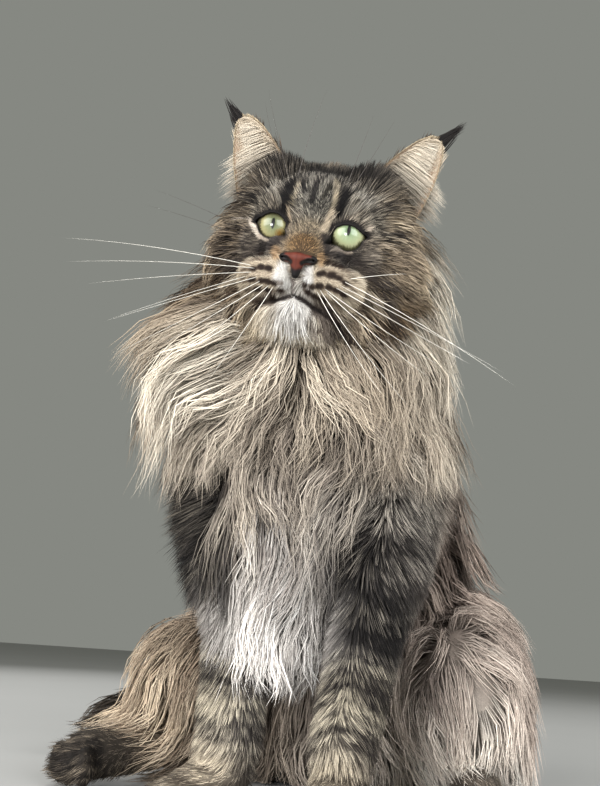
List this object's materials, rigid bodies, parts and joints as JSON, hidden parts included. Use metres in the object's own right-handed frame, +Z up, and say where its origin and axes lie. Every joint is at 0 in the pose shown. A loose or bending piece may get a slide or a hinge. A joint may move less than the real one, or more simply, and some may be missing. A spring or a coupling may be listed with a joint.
{
  "type": "sitting maine coon cat, still life-size model",
  "caption": "Long-haired tabby cat, life size, that sits upright on the floor with a full ruff, tufted ears and its tail laid round behind.",
  "frame": {"origin": "on the floor, in the middle of the flat that the rump sits on", "axes": "+Z up, the cat's body faces -Y and its left side is +X"},
  "size_m": [0.4112, 0.4912, 0.4947],
  "materials": {
    "head_fur": "short grey-brown tabby fur, cream round the eyes, muzzle and chin",
    "ear_fur": "cream fur inside the cup, dark grey-brown fur behind, black tuft at the tip",
    "eye": "wet and glossy, pale yellow-green iris with a narrow upright pupil",
    "nose_leather": "fine-grained, brick red with a black edge",
    "ruff_fur": "long beige and taupe hair with a dark undercoat",
    "chest_fur": "long cream hair in wavy locks",
    "body_fur": "long dark grey-brown tabby hair",
    "leg_fur": "short ticked fur with dark bars",
    "thigh_fur": "long taupe hair with cream tips",
    "tail_fur": "long dark hair in a plume",
    "whisker": "smooth and slightly translucent"
  },
  "bodies": {
    "root": {"head": "head_fur", "ear_left": "ear_fur", "ear_right": "ear_fur", "eye_left": "eye", "eye_right": "eye", "neck": "ruff_fur", "chest": "chest_fur", "torso": "body_fur", "foreleg_left": "leg_fur", "foreleg_right": "leg_fur", "thigh_left": "thigh_fur", "thigh_right": "thigh_fur", "hindfoot_left": "leg_fur", "hindfoot_right": "leg_fur", "tail_base": "tail_fur", "tail_middle": "tail_fur", "tail_tip": "tail_fur"}
  },
  "joints": []
}
